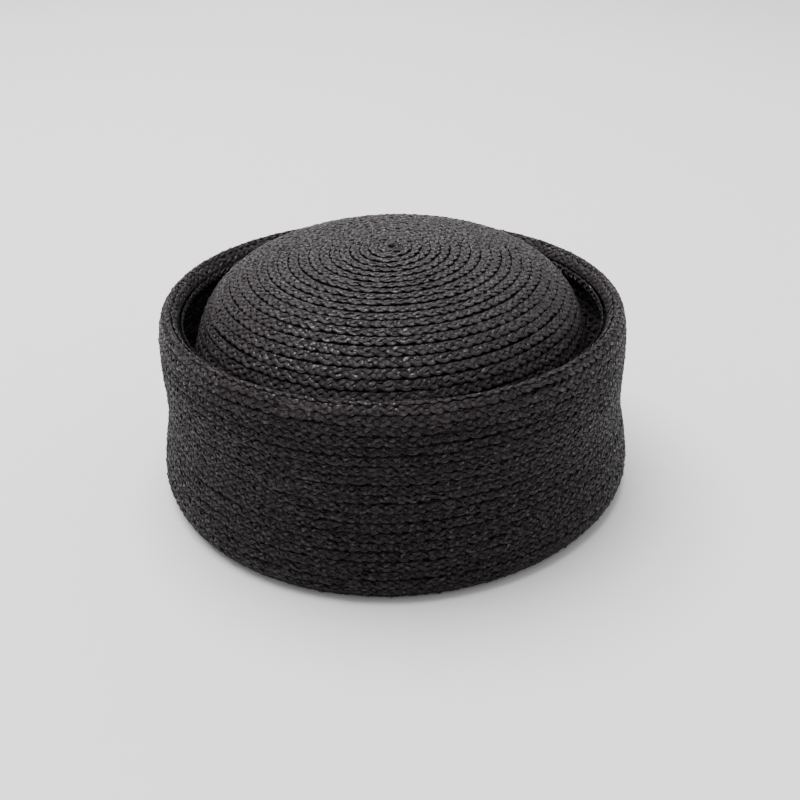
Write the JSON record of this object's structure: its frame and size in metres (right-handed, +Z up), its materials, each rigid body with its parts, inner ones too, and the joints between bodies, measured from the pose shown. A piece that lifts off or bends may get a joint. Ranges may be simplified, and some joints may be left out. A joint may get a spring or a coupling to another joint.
{
  "type": "braided straw cap",
  "caption": "Domed crown of spirally sewn straw plait inside a tall turned-up side wall, open underneath for the head.",
  "frame": {"origin": "on the surface that the cap rests on, under the middle of the cap", "axes": "+Z up through the crown, -Y towards the front of the cap, +X to the right seen from the front"},
  "size_m": [0.2202, 0.2244, 0.113],
  "materials": {
    "crown_straw": "black dyed straw plait, dull sheen, greyer on top",
    "wall_straw": "black dyed straw plait, dull sheen",
    "edge_straw": "black dyed straw plait, folded edge"
  },
  "bodies": {
    "root": {"crown": "crown_straw", "side_wall": "wall_straw", "edge_braid": "edge_straw"}
  },
  "joints": []
}
